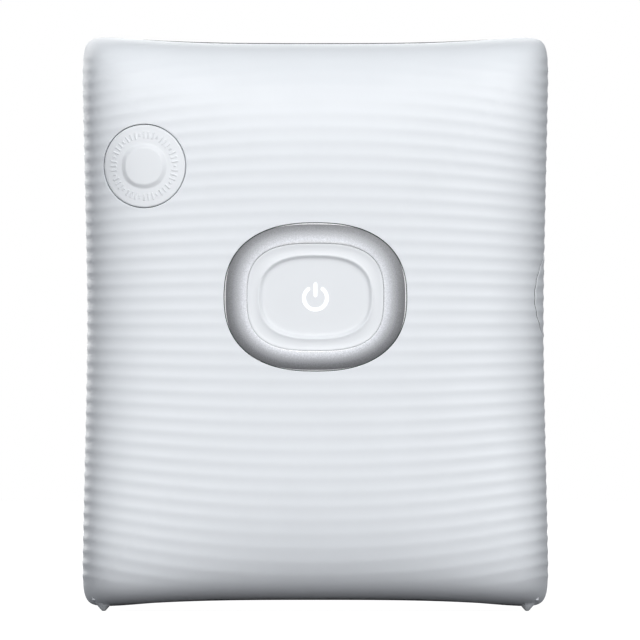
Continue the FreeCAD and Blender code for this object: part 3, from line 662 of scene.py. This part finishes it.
def port_outline(grow, per_side=40):
    """Arch round the port cover's middle, round at the front and square at the back, as (y, z)."""
    reach = PORT_R + grow
    flat = reach - PORT_CORNER
    points = [(PORT_LONG * reach * math.cos(t), reach * math.sin(t))
              for t in np.linspace(math.pi / 2, 1.5 * math.pi, 91)]
    points += [(y, -reach) for y in np.linspace(0, flat, per_side // 2)[1:]]
    points += [(flat + PORT_CORNER * math.sin(t), -flat - PORT_CORNER * math.cos(t))
               for t in np.linspace(0, math.pi / 2, 9)[1:]]
    points += [(reach, z) for z in np.linspace(-flat, flat, per_side)[1:]]
    points += [(flat + PORT_CORNER * math.cos(t), flat + PORT_CORNER * math.sin(t))
               for t in np.linspace(0, math.pi / 2, 9)[1:]]
    points += [(y, reach) for y in np.linspace(flat, 0, per_side // 2)[1:-1]]
    return np.array(points)


def side_rib_x(y, z):
    """X of the ribbed right side."""
    return side_x(y, z) + rib_height(np.full_like(z, RIB_REACH), z)


def port_cutter():
    rings = []
    for wide, high in round_cutter_profile(0.12, 5.0):
        q = port_outline(PORT_GAP + wide)
        y, z = PORT_MID_Y + q[:, 0], PORT_Z + q[:, 1]
        rings.append(np.stack([side_rib_x(y, z) + high, y, z], axis=1))
    return rings_object("port_cutter", rings)


def make_front_shell():
    cols, rows, ratio = 112, 500, 4
    shell = close_with_inner("front_shell", front_grid(cols, rows), front_grid(cols, rows, WALL, ratio), ratio)
    oval = oval_cutter("oval_cutter", RING_A + RING_GAP, RING_B + RING_GAP, RING_POWER)
    cut(shell, oval, function_cutter(), port_cutter())
    return finish_piece(shell, SHELL, "housing", "shell_white", "front_cover")


def outline_points(step_side, step_top):
    """Points round the outline, closer together on the sides than along top and bottom."""
    points = []
    for side in range(4):
        along = 2 * (WAIST_Z if side % 2 == 0 else WAIST_X)
        count = int(along / (step_side if side % 2 == 0 else step_top))
        t = np.sin(np.linspace(-1, 1, count + 1)[:-1] * np.pi / 2)
        flat = np.linspace(-1, 1, count + 1)[:-1]
        t = 0.55 * flat + 0.45 * t
        one = np.ones_like(t)
        u, v = [(one, t), (-t, one), (-one, -t), (t, -one)][side]
        points.append(np.stack([u, v], axis=1))
    uv = np.concatenate(points)
    reach = outline_reach(uv[:, 0], uv[:, 1])
    return uv * reach[:, None]


def make_rear_shell():
    uv = outline_points(0.32, 1.4)
    x, z = shell_xz(uv[:, 0], uv[:, 1])
    base = np.stack([x, z], axis=1)
    tangent = np.roll(base, -1, axis=0) - np.roll(base, 1, axis=0)
    normal = np.stack([tangent[:, 1], -tangent[:, 0]], axis=1)
    normal /= np.linalg.norm(normal, axis=1, keepdims=True)
    rib = rib_height(np.full_like(z, RIB_REACH), z) * np.abs(normal[:, 0]) ** 4
    start = BACK_Y - BACK_ROUND
    steps = [(SPLIT_Y + 0.03, 0.16, 1.0), (SPLIT_Y + 0.12, 0.05, 1.0), (SPLIT_Y + 0.3, 0.0, 1.0)]
    steps += [(y, 0.0, 1.0) for y in np.linspace(SPLIT_Y + 2.0, start, 8)]
    for deg in range(9, 91, 9):
        t = math.radians(deg)
        steps.append((start + BACK_ROUND * math.sin(t), BACK_ROUND * (1 - math.cos(t)), math.cos(t) ** 2))
    rings = []

    def add_ring(q, y):
        rings.append(np.stack([q[:, 0], np.full(len(q), y), q[:, 1]], axis=1))

    seam = seam_shift(x, uv[:, 1])
    for y, inset, share in steps:
        q = inset_outline(uv, inset) + normal * (rib * share)[:, None]
        q[:, 1] += seam * (1 - smooth_step(0.0, SEAM_DRAFT, y - SPLIT_Y))
        add_ring(q, y)
    roll, lip = MOUTH_ROLL, inset_outline(uv, BACK_ROUND)
    mouth = door_mouth(lip, roll)
    add_ring(lip * 0.5 + mouth * 0.5, BACK_Y)
    for deg in (0, 30, 60, 90):
        t = math.radians(deg)
        add_ring(door_mouth(lip, roll * (1 - math.sin(t))), BACK_Y - roll * (1 - math.cos(t)))
    add_ring(door_mouth(lip, 0.0), BACK_Y - BACK_WALL)
    for y, inset in ((BACK_Y - BACK_WALL, BACK_ROUND), (BACK_Y - 3.2, 3.2), (BACK_Y - 5.6, WALL)):
        add_ring(inset_outline(uv, inset), y)
    rim = inset_outline(uv, WALL)
    rim[:, 1] += seam
    add_ring(rim, SPLIT_Y + 0.03)
    rings.append(rings[0])
    shell = rings_object("rear_shell", rings, False, False)
    slot_low, slot_high = node_box("slot_lining")
    slot = rounded_box_cutter_up("slot_opening", (slot_low[0], slot_high[0]), (slot_low[1], slot_high[1]),
                                 (slot_low[2] - 3, slot_high[2] + 3), 0.3)
    cut(shell, slot, port_cutter(), *[screw_recess(low, high) for low, high in screw_boxes()])
    return finish_piece(shell, CASING, "housing", "casing_white", "rear_frame")


def inset_outline(uv, inset):
    """The outline drawn inwards, as (x, z)."""
    u, v = uv[:, 0], uv[:, 1]
    x, z = np.zeros_like(u), np.full_like(u, MID_Z)
    for _ in range(8):
        x = u * (half_width(z) - inset)
        z = MID_Z + v * (half_height(x) - inset)
    return np.stack([x, z], axis=1)


def rounded_rect(x, z, r, per_corner=8):
    """Points of a rectangle with round corners, as (x, z)."""
    points = []
    for cx, cz, start in ((x[1] - r, z[1] - r, 0), (x[0] + r, z[1] - r, 90), (x[0] + r, z[0] + r, 180),
                          (x[1] - r, z[0] + r, 270)):
        for k in range(per_corner + 1):
            a = math.radians(start + 90 * k / per_corner)
            points.append((cx + r * math.cos(a), cz + r * math.sin(a)))
    return np.array(points)


def door_mouth(outline, grow):
    """The door's opening in the back, with one point for each point of the outline, as (x, z)."""
    low, high = node_box("film_door")
    middle = np.array([(low[0] + high[0]) / 2, (low[2] + high[2]) / 2])
    half = np.array([(high[0] - low[0]) / 2, (high[2] - low[2]) / 2]) + DOOR_GAP + grow
    way = outline - middle
    point = way * np.min(half / np.maximum(np.abs(way), 1e-9), axis=1)[:, None]
    r = np.where(point[:, :1] > 0, DOOR_CORNERS[1], DOOR_CORNERS[0]) + grow
    centre = np.sign(point) * (half - r)
    beyond = np.all(np.abs(point) > half - r, axis=1)
    arm = point - centre
    turned = centre + r * arm / np.maximum(np.linalg.norm(arm, axis=1, keepdims=True), 1e-9)
    return middle + np.where(beyond[:, None], turned, point)


def rounded_box_cutter_up(name, x, y, z, r):
    rings = []
    for height in z:
        q = rounded_rect(x, y, r)
        rings.append(np.stack([q[:, 0], q[:, 1], np.full(len(q), height)], axis=1))
    return rings_object(name, rings)


def screw_boxes():
    """Low and high corner of each case screw's solid."""
    verts = np.array([v.co for v in NODES["case_screws"].data.vertices]) / MM
    boxes = []
    for sx in (-1, 1):
        for upper in (False, True):
            near = verts[(np.sign(verts[:, 0]) == sx) & ((verts[:, 2] > MID_Z) == upper)]
            boxes.append((near.min(0), near.max(0)))
    return boxes


def screw_recess(low, high):
    centre = (low + high) / 2
    rings = []
    angle = np.linspace(0, 2 * np.pi, 49)[:-1]
    for y, r in ((BACK_Y - 1.4, SCREW_R), (BACK_Y - 0.15, SCREW_R), (BACK_Y, SCREW_R + 0.15),
                 (BACK_Y + 1, SCREW_R + 0.15)):
        x, z = centre[0] + r * np.cos(angle), centre[2] + r * np.sin(angle)
        rings.append(np.stack([x, np.full_like(x, y), z], axis=1))
    return rings_object("screw_recess", rings)


# ---------------------------------------------------------------------------
# Power ring and power button
# ---------------------------------------------------------------------------
def mixed_oval(share, count):
    """Oval between the ring's outer line (0) and its inner line (1)."""
    outer = superellipse(RING_A, RING_B, RING_POWER, count, (0.0, POWER_Z))
    inner = superellipse(BUTTON_A, BUTTON_B, BUTTON_POWER, count, (0.0, POWER_Z))
    return outer * (1 - share) + inner * share


def make_power_ring():
    low, high = node_box("power_ring")
    front, back = low[1], high[1]
    profile = [(0.0, back - 0.9), (0.0, front + 0.45), (0.006, front + 0.38), (0.02, front + 0.36),
               (0.055, front + 0.34), (0.08, front + 0.32), (0.2, front + 0.22), (0.4, front + 0.10),
               (0.62, front + 0.03), (0.82, front), (0.95, front + 0.01), (0.985, front + 0.02),
               (1.0, front + 0.06), (1.0, back - 0.9)]
    rings = []
    for share, y in profile:
        q = mixed_oval(share, 240)
        rings.append(np.stack([q[:, 0], np.full(len(q), y), q[:, 1]], axis=1))
    rings.append(rings[0])
    obj = rings_object("power_ring_trim", rings, False, False)
    return finish_piece(obj, SILVER, "housing", "silver_trim", "power_ring")


def make_power_button():
    low, high = node_box("power_button")
    front = low[1]
    a, b = BUTTON_A - BUTTON_GAP, BUTTON_B - BUTTON_GAP
    levels = [(a, b, BUTTON_POWER, high[1] - 2.5)]
    for inward, depth in ((0, 0.3), (0.03, 0.06), (0.12, 0.01), (0.28, 0.0), (0.6, 0.08), (1.0, 0.14),
                          (1.4, 0.15)):
        levels.append((a - inward, b - inward, BUTTON_POWER, front + depth))
    for outward, depth in ((0.85, 0.14), (0.62, 0.07), (0.42, 0.0), (0.25, 0.03), (0.1, 0.14), (-0.05, 0.30),
                           (-0.2, 0.46), (-0.4, 0.58), (-0.75, 0.64), (-DISH_EDGE, DISH_DEEP)):
        levels.append((DISH_A + outward, DISH_B + outward, DISH_POWER, front + depth))
    for k in (0.75, 0.5, 0.25, 0.08):
        levels.append(((DISH_A - DISH_EDGE) * k, (DISH_B - DISH_EDGE) * k, DISH_POWER, front + DISH_DEEP))
    rings = []
    for aa, bb, power, y in levels:
        q = superellipse(aa, bb, power, 240, (0.0, POWER_Z))
        rings.append(np.stack([q[:, 0], np.full(len(q), y), q[:, 1]], axis=1))
    obj = rings_object("power_cap", rings)
    make_power_mark(front + DISH_DEEP)
    return finish_piece(obj, BUTTON, "power_button", "button_white", "power_button")


def ribbon(name, line, width, y, height=0.06):
    """Flat raised ribbon with round ends along a line of (x, z) points."""
    line = np.asarray(line, float)
    along = np.gradient(line, axis=0)
    along /= np.linalg.norm(along, axis=1, keepdims=True)
    side = np.stack([-along[:, 1], along[:, 0]], axis=1) * width / 2
    turn = np.linspace(0, np.pi, 9)[1:-1, None]
    end = line[-1] + side[-1] * np.cos(turn) + along[-1] * width / 2 * np.sin(turn)
    begin = line[0] - side[0] * np.cos(turn) - along[0] * width / 2 * np.sin(turn)
    outline = np.concatenate([line + side, end, (line - side)[::-1], begin])
    rings = [np.stack([outline[:, 0], np.full(len(outline), v), outline[:, 1]], axis=1)
             for v in (y + 0.05, y - height)]
    return rings_object(name, rings)


def make_power_mark(y):
    """Generic power symbol printed in white in the dish, its ink with a painted glow."""
    t = np.radians(np.linspace(90 - 38, 90 - 322, 60))
    arc = np.stack([MARK_R * np.cos(t), POWER_Z - 0.25 + MARK_R * np.sin(t)], axis=1)
    bar = [(0.0, POWER_Z + 0.35 + k * 0.6) for k in range(5)]
    mark = join("power_mark", [ribbon("arc", arc, MARK_LINE, y), ribbon("bar", bar, MARK_LINE, y)])
    fix_normals(mark)
    return finish_piece(mark, INK_WITH_PAINTED_GLOW, "power_button", "button_white")


# ---------------------------------------------------------------------------
# Function button
# ---------------------------------------------------------------------------
def make_function_cap():
    turn = np.radians([20, 40, 60, 75, 90])
    flat = np.linspace(0.05, FUNC_R - 0.35, 88)
    radii = np.concatenate([flat, FUNC_R - 0.35 + 0.35 * np.sin(turn)])
    drop = np.concatenate([flat * 0, 0.3 * (1 - np.cos(turn))])
    angle = np.linspace(0, 2 * np.pi, 361)[:-1]
    rings = []
    for r, d in zip(radii, drop):
        lx, ly = r * np.cos(angle), r * np.sin(angle)
        size = (np.abs(lx / PAD_A) ** PAD_POWER + np.abs(ly / PAD_B) ** PAD_POWER) ** (1 / PAD_POWER)
        pad = PAD_HIGH * (1 - smooth_step(0.77, 1.02, size))
        rings.append(function_points(lx, ly, function_surface(lx, ly) + pad - d))
    lx, ly = FUNC_R * np.cos(angle), FUNC_R * np.sin(angle)
    rings.append(function_points(lx, ly, function_surface(lx, ly) - 1.8))
    cap = rings_object("function_cap", rings)
    make_function_marks()
    return finish_piece(cap, BUTTON, "function_button", "button_white", "function_button")


def make_function_marks():
    """Ring of generic raised marks round the pad."""
    marks = []
    for n in range(MARK_COUNT):
        middle = 2 * np.pi * n / MARK_COUNT
        inner, outer = (6.1, 7.5) if n % 4 else (6.5, 7.1)
        rings = []
        for grow, high in ((0.03, -0.3), (0.03, 0.05), (-0.06, 0.19)):
            r = np.array([inner - grow, outer + grow, outer + grow, inner - grow])
            wide = np.array([-1, -1, 1, 1]) * (0.17 + grow)
            lx = r * np.cos(middle) - wide * np.sin(middle)
            ly = r * np.sin(middle) + wide * np.cos(middle)
            rings.append(function_points(lx, ly, function_surface(lx, ly) + high))
        marks.append(rings_object("mark", rings))
    ring = join("function_marks", marks)
    fix_normals(ring)
    return finish_piece(ring, BUTTON, "function_button", "button_white")


# ---------------------------------------------------------------------------
# Port cover
# ---------------------------------------------------------------------------
def make_port_cap():
    """Cover of the charging port, ribbed like the side, with rounded edges; its sunken edge walls take the
    dark trim colour as painted shadow in the gap.
    """
    rings = []
    edge = [(-0.3, 0.0), (-0.2, 0.01), (-0.1, 0.05), (-0.03, 0.12), (0.0, 0.25), (0.0, 1.6)]
    steps = [(k, 0.0, 0.0) for k in np.linspace(0.02, 1.0, 46)[:-1]]
    steps += [(1.0, grow, drop) for grow, drop in edge]
    for share, grow, drop in steps:
        q = port_outline(grow if share == 1.0 else edge[0][0]) * share
        y, z = PORT_MID_Y + q[:, 0], PORT_Z + q[:, 1]
        rings.append(np.stack([side_rib_x(y, z) - drop, y, z], axis=1))
    obj = rings_object("port_cap", rings)
    finish_piece(obj, SHELL, "port_cover", "shell_white", "port_cover")
    # Painted shadow: the cap's sunken side walls get the dark trim colour, darkening the gap round the cover
    # where there is only shade.
    obj.data.materials.append(TRIM_AND_GAP_SHADE)
    centres = np.array([p.center for p in obj.data.polygons]) / MM
    deep = side_rib_x(centres[:, 1], centres[:, 2]) - centres[:, 0]
    for polygon, depth in zip(obj.data.polygons, deep):
        polygon.material_index = int(depth > 0.1 and abs(polygon.normal.x) < 0.5)
    return obj


# ---------------------------------------------------------------------------
# Feet: low ridges that grow out of the underside
# ---------------------------------------------------------------------------
def make_foot(name):
    low, high = node_box(name)
    middle, root, reach, top_z = (low[0] + high[0]) / 2, 2.4, 2.5, 3.0
    across = np.linspace(-reach, reach, 37)
    slope = np.clip((reach - np.abs(across)) / (reach - 0.3), 0.0, 1.0)
    ridge = 0.8 * slope + 0.2 * smooth_step(0.0, 1.0, slope)
    rings = []
    for y in np.linspace(low[1] - 3.0, high[1] + 1.0, 61):
        rise = smooth_step(low[1] - 3.0, low[1] - 0.5, y)
        rise *= 1 - smooth_step(high[1] - 3.0, high[1] + 1.0, y)
        under = np.stack([middle + across, np.full_like(across, y), root * (1 - rise * ridge)], axis=1)
        top = np.stack([middle + across[::-1], np.full_like(across, y), np.full_like(across, top_z)], axis=1)
        rings.append(np.concatenate([under, top]))
    obj = rings_object(name + "_ridge", rings)
    return finish_piece(obj, FOOT, "housing", "foot_rubber", name)


make_front_shell()
make_rear_shell()
make_foot("foot_left")
make_foot("foot_right")
make_power_ring()
make_power_button()
make_function_cap()
make_port_cap()

# ---------------------------------------------------------------------------
# CAD nodes that stay, with their materials
# ---------------------------------------------------------------------------
KEPT = {
    "slot_lining": TRIM_AND_GAP_SHADE, "light_guide": DIFFUSER,
    "function_board": BOARD, "function_switch": SWITCH, "film_chamber": BLACK, "chamber_seal": FOAM,
    "roller_frame": BLACK, "roller_bushings": BRONZE, "drive_roller": RUBBER, "drive_shaft": STEEL,
    "drive_gear": NYLON, "pinch_roller": RUBBER, "pinch_shaft": STEEL, "pinch_gear": NYLON,
    "gear_motor": STEEL, "motor_pinion": NYLON, "cam_gear": NYLON, "cam_axle": STEEL,
    "film_claw": SPRING, "claw_spring": SPRING, "exposure_head": BLACK, "lens_strip": LENS,
    "head_board": BOARD, "ribbon_cable": FLEX, "slot_flap": TRIM_AND_GAP_SHADE, "main_board": BOARD,
    "processor_shield": TIN, "power_switch": SWITCH, "status_leds": LED, "usb_socket": TIN,
    "port_tray": TRIM_AND_GAP_SHADE, "port_pin": STEEL, "side_board": BOARD, "reset_switch": SWITCH,
    "reset_button": BUTTON, "battery": CELL, "battery_pad": FOAM, "battery_lead": LEAD,
    "battery_connector": CONNECTOR, "film_door": CASING, "door_window": SMOKE, "door_pin": STEEL,
    "door_springs": SPRING, "door_lock": BUTTON, "case_screws": SCREW, "board_screws": SCREW,
    "frame_screws": SCREW,
}
for node, material in KEPT.items():
    NODES[node].data.materials.clear()
    NODES[node].data.materials.append(material)
for node, width in (("film_door", 0.25), ("door_lock", 0.12), ("door_window", 0.1), ("slot_lining", 0.15),
                    ("slot_flap", 0.1), ("film_chamber", 0.15), ("roller_frame", 0.15), ("battery", 0.1)):
    bevel = NODES[node].modifiers.new("edges", "BEVEL")
    bevel.width = width * MM
    bevel.segments = 2
    bevel.limit_method = "ANGLE"
    bevel.angle_limit = math.radians(50)

# ---------------------------------------------------------------------------
# Stage, light and camera
# ---------------------------------------------------------------------------


def make_world():
    """White for the camera; for light, a soft room that is brighter above than below."""
    world = bpy.data.worlds.new("studio")
    bpy.context.scene.world = world
    world.use_nodes = True
    tree = world.node_tree
    tree.nodes.clear()
    out = tree.nodes.new("ShaderNodeOutputWorld")
    mix = tree.nodes.new("ShaderNodeMixShader")
    path = tree.nodes.new("ShaderNodeLightPath")
    white = tree.nodes.new("ShaderNodeBackground")
    white.inputs["Color"].default_value = (1, 1, 1, 1)
    white.inputs["Strength"].default_value = 1.0
    room = tree.nodes.new("ShaderNodeBackground")
    coord = tree.nodes.new("ShaderNodeTexCoord")
    split = tree.nodes.new("ShaderNodeSeparateXYZ")
    ramp = tree.nodes.new("ShaderNodeMapRange")
    ramp.inputs["From Min"].default_value = -0.6
    ramp.inputs["From Max"].default_value = 0.8
    ramp.inputs["To Min"].default_value = 0.15
    ramp.inputs["To Max"].default_value = 0.50
    tree.links.new(coord.outputs["Generated"], split.inputs["Vector"])
    tree.links.new(split.outputs["Z"], ramp.inputs["Value"])
    room.inputs["Color"].default_value = (0.93, 0.965, 1.0, 1)
    tree.links.new(ramp.outputs["Result"], room.inputs["Strength"])
    tree.links.new(path.outputs["Is Camera Ray"], mix.inputs["Fac"])
    tree.links.new(room.outputs["Background"], mix.inputs[1])
    tree.links.new(white.outputs["Background"], mix.inputs[2])
    tree.links.new(mix.outputs["Shader"], out.inputs["Surface"])


def area_light(name, place, target, size, power, color=(1, 1, 1)):
    light = bpy.data.lights.new(name, "AREA")
    light.shape = "RECTANGLE"
    light.size, light.size_y = size
    light.energy = power
    light.color = color
    obj = bpy.data.objects.new(name, light)
    obj.location = place
    obj.rotation_euler = (Vector(target) - Vector(place)).to_track_quat("-Z", "Y").to_euler()
    bpy.context.scene.collection.objects.link(obj)


def make_floor():
    """Pale floor: white to the camera, grey to the object's underside."""
    size = 3.0
    corners = [(-size, -size, 0), (size, -size, 0), (size, size, 0), (-size, size, 0)]
    mesh = bpy.data.meshes.new("floor")
    mesh.from_pydata(corners, [], [(0, 1, 2, 3)])
    floor = bpy.data.objects.new("floor", mesh)
    bpy.context.scene.collection.objects.link(floor)
    mat = bpy.data.materials.new("floor")
    mat.use_nodes = True
    tree = mat.node_tree
    tree.nodes.clear()
    out = tree.nodes.new("ShaderNodeOutputMaterial")
    mix = tree.nodes.new("ShaderNodeMixShader")
    path = tree.nodes.new("ShaderNodeLightPath")
    seen = tree.nodes.new("ShaderNodeAddShader")
    glow = tree.nodes.new("ShaderNodeEmission")
    glow.inputs["Color"].default_value = (1, 1, 1, 1)
    glow.inputs["Strength"].default_value = 0.97
    paper = tree.nodes.new("ShaderNodeBsdfDiffuse")
    paper.inputs["Color"].default_value = (0.16, 0.16, 0.16, 1)
    dark = tree.nodes.new("ShaderNodeBsdfDiffuse")
    dark.inputs["Color"].default_value = (0.24, 0.24, 0.25, 1)
    tree.links.new(glow.outputs[0], seen.inputs[0])
    tree.links.new(paper.outputs[0], seen.inputs[1])
    tree.links.new(path.outputs["Is Camera Ray"], mix.inputs["Fac"])
    tree.links.new(dark.outputs[0], mix.inputs[1])
    tree.links.new(seen.outputs[0], mix.inputs[2])
    tree.links.new(mix.outputs[0], out.inputs["Surface"])
    mesh.materials.append(mat)


def make_camera():
    data = bpy.data.cameras.new("camera")
    camera = bpy.data.objects.new("camera", data)
    bpy.context.scene.collection.objects.link(camera)
    distance, view_width = 5.0, 0.1398
    data.sensor_width = 36.0
    data.lens = data.sensor_width * distance / view_width
    camera.location = (0.0010, -distance, 0.0635)
    camera.rotation_euler = (math.radians(90), 0, 0)
    bpy.context.scene.camera = camera


make_world()
make_floor()
area_light("key", (0.25, -1.5, 0.95), (0, 0, 0.06), (1.6, 1.2), 12.2)
area_light("front", (0.15, -1.7, 0.40), (0, 0, 0.06), (2.6, 1.3), 19.0)
area_light("back", (-0.4, 1.7, 0.45), (0, 0, 0.06), (1.6, 1.2), 12)
make_camera()
bpy.context.scene.view_settings.view_transform = "Standard"
